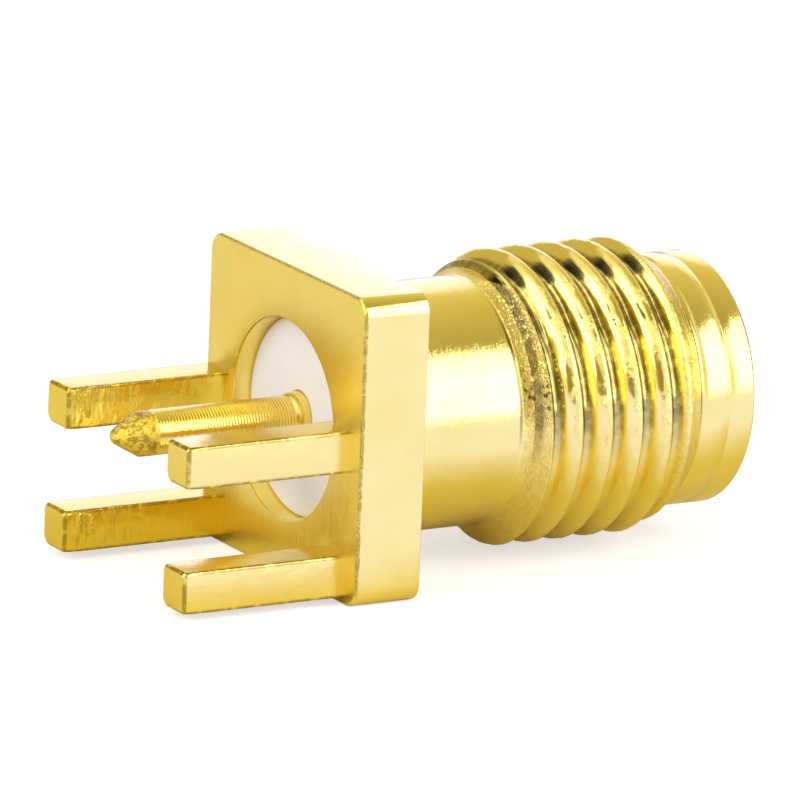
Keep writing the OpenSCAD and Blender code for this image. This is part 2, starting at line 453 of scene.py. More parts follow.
def body_shell():
    shell = Shell(BODY_COLUMNS)
    neck = neck_outline()
    root = shell.turn(neck[:1], None)
    ring = shell.turn(neck[1:], root, TURNED)
    start_r = float(barrel_radius(np.array([THREAD_START]))[0])
    start = shell.turn([[THREAD_START, start_r]], ring, TURNED)
    ring = add_thread(shell, start)
    ring = shell.turn(lip_outline(), ring, TURNED)
    for x, inset in flange_edges():
        edge = flange_ring(shell, x, inset)
        shell.join(ring, edge, FLANGE)
        ring = edge
    shell.join(ring, root, FLANGE)
    return shell


LEG_EDGE_R = 0.045
LEG_END_R = 0.09
LEG_END_STEPS = 5
LEG_CORNER_STEPS = 6
# the bar's own corner, left on the lower far leg
BAR_CORNER_R = 0.22
# radii of the section's corners at a leg's end, from +Y +Z on; the last one is at least so much
LEG_END_CORNERS = [0.11, 0.09, 0.1]
LEG_END_LAST_CORNER = 0.2
# (distance from the leg's end, share of the end's corner radii there)
LEG_END_BLEND = ((0.2, 0.35), (0.42, 0.1), (0.7, 0.0))
# the legs reach this far into the flange, past its rounded edge
LEG_ROOT_DEPTH = FLANGE_EDGE_R + 0.04


def leg_section(y, z, half_w, half_h, radii):
    """Points round a leg's section, from its +Y +Z corner on, each corner with its own radius."""
    signs = [(1, 1), (-1, 1), (-1, -1), (1, -1)]
    points = []
    for q, ((sy, sz), r) in enumerate(zip(signs, radii)):
        cy = y + sy * (half_w - r)
        cz = z + sz * (half_h - r)
        for i in range(LEG_CORNER_STEPS + 1):
            a = math.pi / 2 * (q + i / LEG_CORNER_STEPS)
            points.append([cy + r * math.cos(a), cz + r * math.sin(a)])
    return points


def leg_rows(bar_corner_r):
    """[place, inset, corner radii] of a leg's sections, from its end to its root inside the flange."""
    end_radii = LEG_END_CORNERS + [max(LEG_END_LAST_CORNER, bar_corner_r)]
    plain = [LEG_EDGE_R, LEG_EDGE_R, LEG_EDGE_R, bar_corner_r]
    rows = []
    for i in range(LEG_END_STEPS + 1):
        a = math.pi / 2 * i / LEG_END_STEPS
        rows.append([leg_end + LEG_END_R * (1 - math.cos(a)), LEG_END_R * (1 - math.sin(a)), end_radii])
    for run, share in LEG_END_BLEND:
        rows.append([leg_end + run, 0, [p + (e - p) * share for p, e in zip(plain, end_radii)]])
    rows.append([leg_end / 2, 0, plain])
    rows.append([LEG_ROOT_DEPTH, 0, plain])
    return rows


def make_leg(y, z, bar_corner_r, materials):
    rows = []
    for x, inset, radii in leg_rows(bar_corner_r):
        section = leg_section(y, z, LEG_WIDTH / 2 - inset, LEG_HEIGHT / 2 - inset, radii)
        rows.append([[x, u, v] for u, v in section])
    count = len(rows[0])
    points = [p for row in rows for p in row]
    faces = [list(range(count)), list(range(len(points) - count, len(points)))]
    for j in range(len(rows) - 1):
        for i in range(count):
            k = (i + 1) % count
            faces.append([j * count + i, (j + 1) * count + i, (j + 1) * count + k, j * count + k])
    return new_object("leg", points, faces, materials, [MILLED] * len(faces))


def make_body(materials):
    shell = body_shell()
    body = new_object("plated_body", shell.points, shell.faces, materials, shell.face_materials)
    upper = -pin_r + LEG_HEIGHT / 2
    lower = 2 * slot_middle_z - upper
    legs = []
    for side in (-1, 1):
        for z in (upper, lower):
            on_bar_corner = side > 0 and z == lower
            corner_r = BAR_CORNER_R if on_bar_corner else LEG_EDGE_R
            legs.append(make_leg(leg_offset + side * LEG_PITCH / 2, z, corner_r, materials))
    combine(body, legs, "UNION")
    return body


# ---------------------------------------------------------------- insulator

INSULATOR_COLUMNS = 160
INSULATOR_BEVEL = 0.1
INSULATOR_RING_PITCH = 0.06
HOLE_CLEARANCE = 0.01
# lengths of the hole's narrow seat and of the cone in front of it
HOLE_SEAT_LENGTH = 0.06
HOLE_CONE_LENGTH = 0.22


def make_insulator(material):
    shell = Shell(INSULATOR_COLUMNS)
    bevel_centre = [insulator_rear + INSULATOR_BEVEL, insulator_r - INSULATOR_BEVEL]
    outside = arc(bevel_centre, INSULATOR_BEVEL, 180, 90, 5)
    front = [[reference_plane - EDGE_BREAK, insulator_r], [reference_plane, insulator_r - EDGE_BREAK]]
    cone = insulator_rear + HOLE_SEAT_LENGTH
    wide = SOCKET_R + HOLE_CLEARANCE
    narrow = SEAT_R + HOLE_CLEARANCE
    hole = [[reference_plane, wide], [cone + HOLE_CONE_LENGTH, wide], [cone, narrow],
            [insulator_rear + EDGE_BREAK, narrow], [insulator_rear, narrow + EDGE_BREAK]]
    outline = outside + front + hole
    first = shell.turn(outline[:1], None)
    last = shell.turn(outline[1:], first)
    shell.join(last, first)
    return new_object("ptfe_insulator", shell.points, shell.faces, [material])


# ---------------------------------------------------------------- contact

CONTACT_COLUMNS = 112
RING_PITCH = 0.07
RING_DEPTH = 0.0045
# points along one turning ring, and how much shallower the rings are on the point
RING_SAMPLES = 7
POINT_RING_SHARE = 0.6
NOSE_R = 0.2
# where the nose leaves the fan at its tip
NOSE_START = 176
POINT_ANGLE = 30
ROUGH_ZONE_END = -3.13
COLLAR_LENGTH = 0.3
COLLAR_FILLET_R = 0.3
COLLAR_RINGS = 3
COLLAR_RING_DEPTH = 0.003
# the collar's rings end, the seat begins and the cone ends this far in front of the insulator's rear face
COLLAR_END = 0.03
SEAT_START = 0.04
CONE_END = 0.21
SOCKET_LIP_R = 0.03
SOCKET_CHAMFER = 0.06
SOCKET_DEPTH = 2.9
DRILL_POINT = 0.2
SLOT_WIDTH = 0.14
SLOT_LENGTH = 1.7
SLOT_COUNT = 4
FIRST_SLOT = 45
BLADE_MARGIN = 0.2


def pin_outline():
    """Nose, point, ringed pin and collar, as [place, radius] points."""
    points = arc([pin_tip + NOSE_R, 0], NOSE_R, NOSE_START, 90 + POINT_ANGLE, 8)
    end_x, end_r = points[-1]
    rise = math.tan(math.radians(POINT_ANGLE))
    shoulder = end_x + (pin_r - end_r) / rise
    collar_start = insulator_rear - COLLAR_LENGTH
    step = RING_PITCH / RING_SAMPLES
    for i in range(1, math.ceil((collar_start - end_x) / step)):
        x = end_x + i * step
        plain = min(end_r + (x - end_x) * rise, pin_r)
        wave = 0.5 + 0.5 * math.cos(TURN * x / RING_PITCH)
        depth = RING_DEPTH if x > shoulder else RING_DEPTH * POINT_RING_SHARE
        points.append([x, plain - depth * wave ** 2])
    turn = math.degrees(math.acos(1 - (COLLAR_R - pin_r) / COLLAR_FILLET_R))
    crown = collar_start + COLLAR_FILLET_R * math.sin(math.radians(turn))
    points += arc([crown, COLLAR_R - COLLAR_FILLET_R], COLLAR_FILLET_R, 90 + turn, 90, 6)
    count = COLLAR_RINGS * RING_SAMPLES
    reach = insulator_rear + COLLAR_END - crown
    for i in range(1, count):
        wave = 0.5 + 0.5 * math.cos(TURN * i / RING_SAMPLES)
        plain = COLLAR_R + (SEAT_R - COLLAR_R) * i / count
        points.append([crown + reach * i / count, plain - COLLAR_RING_DEPTH * (1 - wave)])
    return points


def socket_outline():
    """Seat, cone, socket, its mouth and its bore, as [place, radius] points."""
    lip_x = socket_mouth - SOCKET_LIP_R
    seat = [[insulator_rear + SEAT_START, SEAT_R], [insulator_rear + CONE_END, SOCKET_R], [lip_x, SOCKET_R]]
    lip = arc([lip_x, SOCKET_R - SOCKET_LIP_R], SOCKET_LIP_R, 90, 0, 3)[1:]
    bore = [[socket_mouth, socket_bore_r + SOCKET_CHAMFER], [socket_mouth - SOCKET_CHAMFER, socket_bore_r],
            [socket_mouth - SOCKET_DEPTH, socket_bore_r]]
    return split_long(seat, BORE_STEP) + lip + split_long(bore, BORE_STEP)


def make_contact(material):
    shell = Shell(CONTACT_COLUMNS)
    outline = pin_outline()
    first = shell.turn(outline[:1], None)
    shell.cap(first, pin_tip)
    ring = shell.turn(outline[1:], first)
    ring = shell.turn(socket_outline(), ring)
    shell.cap(ring, socket_mouth - SOCKET_DEPTH - DRILL_POINT)
    contact = new_object("slotted_contact", shell.points, shell.faces, [material])
    per_blade = 180 / (SLOT_COUNT // 2)
    blades = [make_blade(math.radians(FIRST_SLOT + i * per_blade)) for i in range(SLOT_COUNT // 2)]
    combine(contact, blades, "DIFFERENCE")
    return contact


def make_blade(angle):
    """Flat cutter through the socket's mouth, for two slots that face each other."""
    half = SLOT_WIDTH / 2
    reach = SOCKET_R + BLADE_MARGIN
    points = []
    for x in (socket_mouth - SLOT_LENGTH, socket_mouth + BLADE_MARGIN):
        for y, z in ((-reach, -half), (reach, -half), (reach, half), (-reach, half)):
            turned_y = y * math.cos(angle) - z * math.sin(angle)
            points.append([x, turned_y, y * math.sin(angle) + z * math.cos(angle)])
    faces = [[0, 1, 2, 3], [4, 5, 6, 7]] + [[i, (i + 1) % 4, 4 + (i + 1) % 4, 4 + i] for i in range(4)]
    return new_object("blade", points, faces, [])


# ---------------------------------------------------------------- materials


class Graph:
    """Short calls to build a material's nodes."""

    def __init__(self, name):
        self.material = bpy.data.materials.new(name)
        self.material.use_nodes = True
        self.tree = self.material.node_tree
        self.shader = self.tree.nodes["Principled BSDF"]
        place = self.add("ShaderNodeTexCoord").outputs["Object"]
        scale = self.add("ShaderNodeVectorMath", operation="SCALE")
        self.link(place, scale.inputs[0])
        scale.inputs["Scale"].default_value = 1 / MM
        self.place = scale.outputs[0]

    def add(self, kind, **settings):
        node = self.tree.nodes.new(kind)
        for key, value in settings.items():
            setattr(node, key, value)
        return node

    def link(self, source, target):
        self.tree.links.new(source, target)

    def finish(self, closure):
        """Uses a closure's output as the surface."""
        self.link(closure, self.tree.nodes["Material Output"].inputs["Surface"])

    def coordinates(self):
        """X, Y and Z in millimetres, and the distance from the X axis."""
        split = self.add("ShaderNodeSeparateXYZ")
        self.link(self.place, split.inputs[0])
        x, y, z = split.outputs
        squares = self.math("ADD", self.math("POWER", y, 2.0), self.math("POWER", z, 2.0))
        return x, y, z, self.math("SQRT", squares)

    def along(self, axis):
        """Place along a unit vector in millimetres."""
        node = self.add("ShaderNodeVectorMath", operation="DOT_PRODUCT")
        self.link(self.place, node.inputs[0])
        node.inputs[1].default_value = axis
        return node.outputs["Value"]

    def math(self, operation, a, b=0.0):
        node = self.add("ShaderNodeMath", operation=operation)
        for socket, value in zip(node.inputs, (a, b)):
            if isinstance(value, (int, float)):
                socket.default_value = value
            else:
                self.link(value, socket)
        return node.outputs[0]

    def times(self, first, *others):
        for other in others:
            first = self.math("MULTIPLY", first, other)
        return first

    def most(self, first, *others):
        for other in others:
            first = self.math("MAXIMUM", first, other)
        return first

    def off(self, value, middle):
        """Distance of value from middle."""
        return self.math("ABSOLUTE", self.math("SUBTRACT", value, middle))

    def noise(self, per_mm, detail=2.0, roughness=0.5, turn=(0, 0, 0), distortion=0.0):
        """Noise with per_mm features to a millimetre, or so many along each axis after a turn in degrees."""
        node = self.add("ShaderNodeTexNoise")
        node.inputs["Detail"].default_value = detail
        node.inputs["Roughness"].default_value = roughness
        node.inputs["Distortion"].default_value = distortion
        place = self.place
        if isinstance(per_mm, tuple):
            mapping = self.add("ShaderNodeMapping")
            mapping.inputs["Rotation"].default_value = [math.radians(t) for t in turn]
            mapping.inputs["Scale"].default_value = per_mm
            self.link(place, mapping.inputs["Vector"])
            place = mapping.outputs[0]
            per_mm = 1.0
        node.inputs["Scale"].default_value = per_mm
        self.link(place, node.inputs["Vector"])
        return node.outputs["Fac"]

    def ramp(self, value, low, high, out_low=0.0, out_high=1.0):
        """value from low..high brought to out_low..out_high, and kept in it."""
        node = self.add("ShaderNodeMapRange", clamp=True)
        for key, number in zip(("From Min", "From Max", "To Min", "To Max"), (low, high, out_low, out_high)):
            node.inputs[key].default_value = number
        self.link(value, node.inputs["Value"])
        return node.outputs["Result"]

    def blend(self, share, first, second):
        """Colour mix; first and second are colours or sockets."""
        node = self.add("ShaderNodeMix", data_type="RGBA")
        self.link(share, node.inputs["Factor"])
        for socket, value in ((node.inputs[6], first), (node.inputs[7], second)):
            if isinstance(value, tuple):
                socket.default_value = (*value, 1)
            else:
                self.link(value, socket)
        return node.outputs[2]

    def bump(self, height, slope, feature, before=None):
        """Bump whose slopes are about slope for a texture with features of that size in millimetres."""
        node = self.add("ShaderNodeBump")
        node.inputs["Strength"].default_value = 1.0
        node.inputs["Distance"].default_value = slope * feature * MM
        self.link(height, node.inputs["Height"])
        if before is not None:
            self.link(before, node.inputs["Normal"])
        return node.outputs["Normal"]

    def paint(self, colour):
        self.link(colour, self.shader.inputs["Base Color"])

    def relief(self, normal):
        self.link(normal, self.shader.inputs["Normal"])


GOLD = (0.96, 0.775, 0.21)
DEEP_GOLD = (0.93, 0.73, 0.165)
# the legs' gold: paler on the near side, and painted in shade on the far side
NEAR_LEG_GOLD = (0.945, 0.745, 0.185)
FAR_LEG_GOLD_PAINTED_SHADE = (0.92, 0.69, 0.06)
POINT_GOLD = (0.90, 0.66, 0.08)
STAIN = (0.30, 0.20, 0.03)
PAINTED_EDGE_SHADE = (0.45, 0.33, 0.05)
# dark colour of the dull marks, and of the painted shade in the corners and grooves
GRIME_AND_PAINTED_SHADE = (0.10, 0.07, 0.012)
LEG_EDGE_PAINTED_SHADE = (0.36, 0.24, 0.02)
POINT_GRIT = (0.30, 0.20, 0.02)
WHITE = (0.94, 0.925, 0.915)
SHADED_WHITE = (0.92, 0.905, 0.895)
DUST = (0.55, 0.5, 0.42)

# zones of the plating's marks and of the painted shade, each from where they are least to where they are
# full: along X
FILLET_ZONE = (4.17, 4.23)
BEHIND_THREAD = (4.6, 4.5)
SHOULDER_ZONE = (4.78, 4.66)
FRONT_ZONE = (7.75, 7.9)
BEHIND_FRONT_ZONE = (7.9, 7.8)
NECK_ROOT_ZONE = (FLANGE_THICKNESS + 0.10, FLANGE_THICKNESS + 0.05)
REAR_FACE_ZONE = (0.03, 0.01)
FLANGE_EDGE_ZONE = (0.075, 0.045)
CUTTER_ZONE = (-1.4, -2.8)
LEG_TIP_ZONE = (leg_end + 0.10, leg_end + 0.06)
ROUGH_POINT_ZONE = (ROUGH_ZONE_END + 0.06, ROUGH_ZONE_END - 0.05)
# across, from the near side to the far one where the legs are painted in shade, and on the inner sides of
# the far legs
NEAR_TO_FAR = (0.0, 1.0)
INNER_SIDE = leg_offset + (LEG_PITCH - LEG_WIDTH) / 2
BEFORE_INNER_SIDE = (INNER_SIDE - 0.3, INNER_SIDE - 0.2)
PAST_INNER_SIDE = (INNER_SIDE + 0.12, INNER_SIDE + 0.06)
# in height
ABOVE_AXIS = (0.0, 0.6)
BELOW_TOP = (2.65, 2.35)
BELOW_CREST_TOP = (2.85, 2.5)
MARKS_PAINTED_DARK_BELOW = (1.4, 0.9)
LINES_ABOVE = (-0.5, 0.4)
LINES_BELOW = (2.4, 1.7)
GROOVE_SHADE_ABOVE = (-0.9, 0.1)
UPPER_CRESTS = (-0.8, 0.6)
SLANTED_CUTS_BELOW = (-0.6, -1.6)
# in distance from the axis, and from the middle of the flange
OUTSIDE_ZONE = (NECK_R - 0.1, NECK_R - 0.05)
CREST_ZONE = (crest_r - 0.10, crest_r - 0.03)
ROOT_ZONE = (ROOT_R + 0.14, ROOT_R + 0.08)
FLANGE_BORDER = (half_side - 0.05, half_side - 0.02)
# distances from a leg's side at which its painted shade rims end and are full
LEG_RIM_END = 0.08
LEG_RIM_FULL = 0.04
# place of the painted shade line behind the shoulder's fillet, and the distances at which such painted shade
# lines end and are full
SHOULDER_LINE = 4.13
LINE_END = 0.04
LINE_FULL = 0.02


def plated(name, polish):
    """Gold plating: slight changes of tone, a few dull specks and a soft haze over the polish."""
    g = Graph(name)
    tone = g.ramp(g.noise(0.9, detail=3.0), 0.35, 0.7)
    specks = g.ramp(g.noise(9.0, detail=4.0, roughness=0.6), 0.69, 0.78, 0.0, 0.25)
    g.colour = g.blend(specks, g.blend(tone, GOLD, DEEP_GOLD), STAIN)
    haze = g.ramp(g.noise(3.0, detail=4.0, roughness=0.6), 0.3, 0.7, polish, polish + 0.07)
    g.rough = g.math("ADD", haze, g.times(specks, 0.5))
    g.link(g.rough, g.shader.inputs["Roughness"])
    g.shader.inputs["Metallic"].default_value = 1.0
    g.shader.inputs["Coat Weight"].default_value = 0.15
    g.shader.inputs["Coat Roughness"].default_value = 0.3
    g.shader.inputs["Coat IOR"].default_value = 1.5
    return g


def shoulder_heights(g, z):
    """The shoulder's speckles fade below the axis and towards the top."""
    return g.times(g.ramp(z, *ABOVE_AXIS, 0.12, 1.0), g.ramp(z, *BELOW_TOP))


def speckle(g, share, z, before):
    """Pits as deep as share, over the normal before. Returns the strength of the dull marks among them,
    which are dark low down and faint higher up: real specks with painted shade.
    """
    grit = g.noise((16, 12, 12), detail=4.0, roughness=0.7)
    pits = g.times(g.ramp(grit, 0.42, 0.60), share)
    g.relief(g.bump(pits, 0.8, 1 / 16, before))
    marks = g.ramp(g.noise((14, 8, 8), detail=3.0, turn=(0, 0, 40)), 0.50, 0.62, 0.0, 0.9)
    # painted shade: the marks' dark colour fades out higher up
    return g.times(marks, g.ramp(z, *MARKS_PAINTED_DARK_BELOW, 0.08, 1.0), share)


def turned_gold():
    """Fine turning lines round the axis, a speckled fillet, and painted shade as dark lines in the corners.
    """
    g = plated("gold_turned", 0.09)
    x, _, z, radius = g.coordinates()
    normal = g.bump(g.noise((5, 0.9, 0.9)), 0.05, 1 / 5)
    normal = g.bump(g.noise((26, 0.7, 0.7), detail=3.0, roughness=0.6), 0.07, 1 / 26, normal)
    normal = g.bump(g.noise(16.0, detail=3.0, roughness=0.6), 0.05, 1 / 16, normal)
    fillet = g.times(g.ramp(x, *FILLET_ZONE), g.ramp(x, *BEHIND_THREAD))
    marks = speckle(g, g.times(fillet, shoulder_heights(g, z)), z, normal)
    # painted shade: dark lines in the corner at the neck's root and behind the shoulder and the lip
    corner_shade = g.ramp(x, *NECK_ROOT_ZONE)
    heights = g.times(g.ramp(z, *LINES_ABOVE), g.ramp(z, *LINES_BELOW))
    for place in (SHOULDER_LINE, lip_start):
        behind = g.ramp(x, place - LINE_END, place - LINE_FULL)
        before = g.ramp(x, place + LINE_END, place + LINE_FULL)
        corner_shade = g.most(corner_shade, g.times(behind, before, heights))
    outside = g.ramp(radius, *OUTSIDE_ZONE, 0.0, 0.8)
    g.paint(g.blend(g.most(marks, g.times(corner_shade, outside)), g.colour, GRIME_AND_PAINTED_SHADE))
    return g.material


def thread_gold():
    """Speckled rear chamfer, a few speckles on the upper crests, painted shade in the grooves, and smooth
    flanks.
    """
    g = plated("gold_threaded", 0.09)
    x, _, z, radius = g.coordinates()
    patches = g.ramp(g.noise(2.4), 0.45, 0.6)
    crests = g.times(g.ramp(radius, *CREST_ZONE), patches)
    crests = g.times(crests, g.ramp(z, *UPPER_CRESTS, 0.05, 0.2), g.ramp(z, *BELOW_CREST_TOP))
    rear = g.times(g.ramp(x, *SHOULDER_ZONE), shoulder_heights(g, z))
    front = g.ramp(x, *FRONT_ZONE, 0.0, 0.12)
    normal = g.bump(g.noise((14, 0.8, 0.8)), 0.05, 1 / 14)
    marks = speckle(g, g.most(crests, rear, front), z, normal)
    # painted shade: the grooves darkened near the root, above the axis and behind the front
    groove_shade = g.times(g.ramp(radius, *ROOT_ZONE), g.ramp(z, *GROOVE_SHADE_ABOVE))
    uneven = g.ramp(g.noise(5.0, detail=3.0), 0.35, 0.55, 0.45, 0.75)
    groove_shade = g.times(groove_shade, g.ramp(x, *BEHIND_FRONT_ZONE), uneven)
    g.paint(g.blend(g.most(marks, groove_shade), g.colour, GRIME_AND_PAINTED_SHADE))
    return g.material


def flange_gold():
    """Satin rear face with fine upright and slanting lines, small burrs along its edges, and a painted shade
    line along them.
    """
    g = plated("gold_flange", 0.13)
    x, y, z, _ = g.coordinates()
    rear = g.ramp(x, *REAR_FACE_ZONE)
    g.link(g.math("ADD", g.rough, g.times(rear, 0.15)), g.shader.inputs["Roughness"])
    lines = g.noise((1.0, 14.0, 0.8), detail=4.0, roughness=0.7, turn=(8, 0, 0))
    cuts = g.noise((1.0, 11.0, 0.6), detail=4.0, roughness=0.7, turn=(-52, 0, 0))
    scratches = g.math("ADD", lines, g.times(cuts, g.ramp(z, *SLANTED_CUTS_BELOW)))
    normal = g.bump(g.noise(0.9), 0.015, 1 / 0.9)
    normal = g.bump(g.times(scratches, rear), 0.12, 1 / 12, normal)
    border = g.ramp(g.most(g.off(y, 0.0), g.off(z, 0.0)), *FLANGE_BORDER)
    edge = g.times(border, g.ramp(x, *FLANGE_EDGE_ZONE))
    burr = g.ramp(g.noise(10.0, detail=4.0, roughness=0.65), 0.45, 0.6)
    g.relief(g.bump(g.times(edge, burr), 0.35, 1 / 10, normal))
    # painted shade: a dark line along the rear face's rounded edges; the burrs themselves are only bumps
    g.paint(g.blend(g.times(edge, 0.6), g.colour, PAINTED_EDGE_SHADE))
    return g.material


def milled_gold():
    """Cutter marks on the inner sides of the far legs, painted shade on the far legs and as dark lines along
    the edges, and a slight unevenness elsewhere.
    """
    g = plated("gold_milled", 0.17)
    x, y, z, _ = g.coordinates()
    inner_side = g.times(g.ramp(y, *PAST_INNER_SIDE), g.ramp(y, *BEFORE_INNER_SIDE))
    streaks = g.noise((6, 0.8, 0.7), detail=4.0, roughness=0.65, turn=(0, 32, 0), distortion=0.8)
    patches = g.ramp(g.noise(1.3), 0.45, 0.60)
    strength = g.times(patches, g.ramp(x, *CUTTER_ZONE, 0.12, 1.0))
    cuts = g.times(g.ramp(streaks, 0.45, 0.68), strength, inner_side)
    normal = g.bump(g.noise(3.0, detail=3.0, roughness=0.6), 0.03, 1 / 3)
    fine = g.noise((2.0, 14.0, 14.0), detail=3.0, roughness=0.6)
    normal = g.bump(fine, 0.025, 1 / 14, normal)
    g.relief(g.bump(cuts, 0.3, 1 / 6, normal))
    # distances from the middle line of the leg that a point is on
    out_y = g.off(g.off(y, leg_offset), LEG_PITCH / 2)
    out_z = g.off(g.off(z, slot_middle_z), LEG_HEIGHT / 2 - pin_r - slot_middle_z)
    side = g.ramp(out_y, LEG_WIDTH / 2 - LEG_RIM_END, LEG_WIDTH / 2 - LEG_RIM_FULL)
    level = g.ramp(out_z, LEG_HEIGHT / 2 - LEG_RIM_END, LEG_HEIGHT / 2 - LEG_RIM_FULL)
    end_rim = g.times(g.most(side, level), g.ramp(x, *LEG_TIP_ZONE))
    # painted shade: dark lines along the bevels at the legs' ends and long edges, broken up by noise
    patchy = g.ramp(g.noise(6.0, detail=3.0), 0.36, 0.52, 0.2, 0.85)
    rims = g.times(g.most(end_rim, g.times(side, level)), patchy)
    # painted shade: the far legs take a darker, deeper gold than the near ones
    colour = g.blend(g.ramp(y, *NEAR_TO_FAR, 0.0, 0.8), NEAR_LEG_GOLD, FAR_LEG_GOLD_PAINTED_SHADE)
    g.paint(g.blend(rims, colour, LEG_EDGE_PAINTED_SHADE))
    return g.material


def contact_gold():
    """The contact's gold, with dark grit on its rough point."""
    g = plated("gold_contact", 0.12)
    x, _, _, _ = g.coordinates()
    point = g.ramp(x, *ROUGH_POINT_ZONE, 0.12, 1.0)
    normal = g.bump(g.noise((30, 2.0, 2.0)), 0.05, 1 / 30)
    grit = g.noise(14.0, detail=4.0, roughness=0.7)
    g.relief(g.bump(g.times(grit, point), 0.55, 1 / 14, normal))
    marks = g.ramp(g.noise(8.0, detail=3.0, roughness=0.6), 0.46, 0.60, 0.05, 0.8)
    colour = g.blend(point, g.colour, POINT_GOLD)
    g.paint(g.blend(g.times(marks, point), colour, POINT_GRIT))
    return g.material


def insulator_white():
    """Smooth, slightly waxy fluoropolymer with faint turning marks."""
    g = Graph("white_insulator")
    tone = g.ramp(g.noise(1.5, detail=3.0), 0.35, 0.7)
    specks = g.ramp(g.noise(7.0, detail=3.0), 0.72, 0.8, 0.0, 0.25)
    g.paint(g.blend(specks, g.blend(tone, WHITE, SHADED_WHITE), DUST))
    g.shader.inputs["Roughness"].default_value = 0.42
    g.shader.inputs["IOR"].default_value = 1.38
    g.shader.inputs["Subsurface Weight"].default_value = 0.15
    g.shader.inputs["Subsurface Scale"].default_value = 0.2 * MM
    _, _, _, radius = g.coordinates()
    rings = g.math("SINE", g.times(radius, TURN / INSULATOR_RING_PITCH))
    g.relief(g.bump(rings, 0.015, 0.02))
    return g.material


# ---------------------------------------------------------------- camera and studio

VIEW_AZIMUTH = math.radians(-30.28)
VIEW_ELEVATION = math.radians(14.56)
VIEW_ROLL = math.radians(2.245)
VIEW_DISTANCE = 261.71
VIEW_TARGET = Vector((2.403, 0, 0))
VIEW_OFFSET = (0.3080, 0.1537)
LENS = 575.6
SENSOR = 36.0
CLIP_START = 10
CLIP_END = 10000
LAMP_DISTANCE = 350
CARD_DISTANCE = 450
# share of a card's half width and height over which it fades out
CARD_BORDER = 0.3
# the world's light on dull surfaces
ROOM_LIGHT = (0.71, 0.695, 0.68)
FLOOR_HALF = 5000
FLOOR_GAP = 0.002
FLOOR_COLOUR = (0.62, 0.62, 0.62)
# what the floor adds for the camera, so that it is white but keeps the part's shadow
FLOOR_GLOW = (0.58, 0.58, 0.58)
# the floor in the metal's reflections: a painted warm bounce from the gold, and a painted cool glow further
# away on the near side
FLOOR_IN_METAL_PAINTED_BOUNCE = (0.82, 0.755, 0.375)
FAR_FLOOR_PAINTED_GLOW = (0.12, 0.28, 1.6)
# where the painted glow turns cool, in distance from the axis, and fades again, towards the far side
FAR_FLOOR_ZONE = (4.5, 7.5)
FAR_FLOOR_FADE = (-3, 3)


def make_camera():
    """Long lens from behind the near side, a little above the part, and rolled slightly."""
    back = Vector((math.sin(VIEW_AZIMUTH) * math.cos(VIEW_ELEVATION),
                   -math.cos(VIEW_AZIMUTH) * math.cos(VIEW_ELEVATION), math.sin(VIEW_ELEVATION)))
    level = Vector((math.cos(VIEW_AZIMUTH), math.sin(VIEW_AZIMUTH), 0))
    rise = back.cross(level)
    right = math.cos(VIEW_ROLL) * level + math.sin(VIEW_ROLL) * rise
    up = math.cos(VIEW_ROLL) * rise - math.sin(VIEW_ROLL) * level
    place = VIEW_TARGET + back * VIEW_DISTANCE + right * VIEW_OFFSET[0] + up * VIEW_OFFSET[1]
    data = bpy.data.cameras.new("camera")
    data.lens = LENS
    data.sensor_width = SENSOR
    data.clip_start = CLIP_START * MM
    data.clip_end = CLIP_END * MM
    camera = bpy.data.objects.new("camera", data)
    axes = Matrix((right, up, back)).transposed().to_4x4()
    camera.matrix_world = Matrix.Translation(place * MM) @ axes
    bpy.context.scene.collection.objects.link(camera)
    bpy.context.scene.camera = camera


def direction(azimuth, elevation):
    """Unit vector by angles in degrees; azimuth 0 is +X and 90 is +Y."""
    a = math.radians(azimuth)
    e = math.radians(elevation)
    return Vector((math.cos(a) * math.cos(e), math.sin(a) * math.cos(e), math.sin(e)))


def softbox(name, azimuth, elevation, width, height, level, colour):
    """Rectangular lamp that looks level times as bright as white, over width by height degrees."""
    data = bpy.data.lights.new(name, "AREA")
    data.shape = "RECTANGLE"
    data.size = 2 * LAMP_DISTANCE * MM * math.tan(math.radians(width / 2))
    data.size_y = 2 * LAMP_DISTANCE * MM * math.tan(math.radians(height / 2))
    # a lamp of this power per area has a radiance of level
    data.energy = level * math.pi * data.size * data.size_y
    data.color = colour
    lamp = bpy.data.objects.new(name, data)
    towards = direction(azimuth, elevation)
    lamp.location = towards * LAMP_DISTANCE * MM + VIEW_TARGET * MM
    lamp.rotation_euler = towards.to_track_quat("Z", "Y").to_euler()
    lamp.visible_camera = False
    bpy.context.scene.collection.objects.link(lamp)


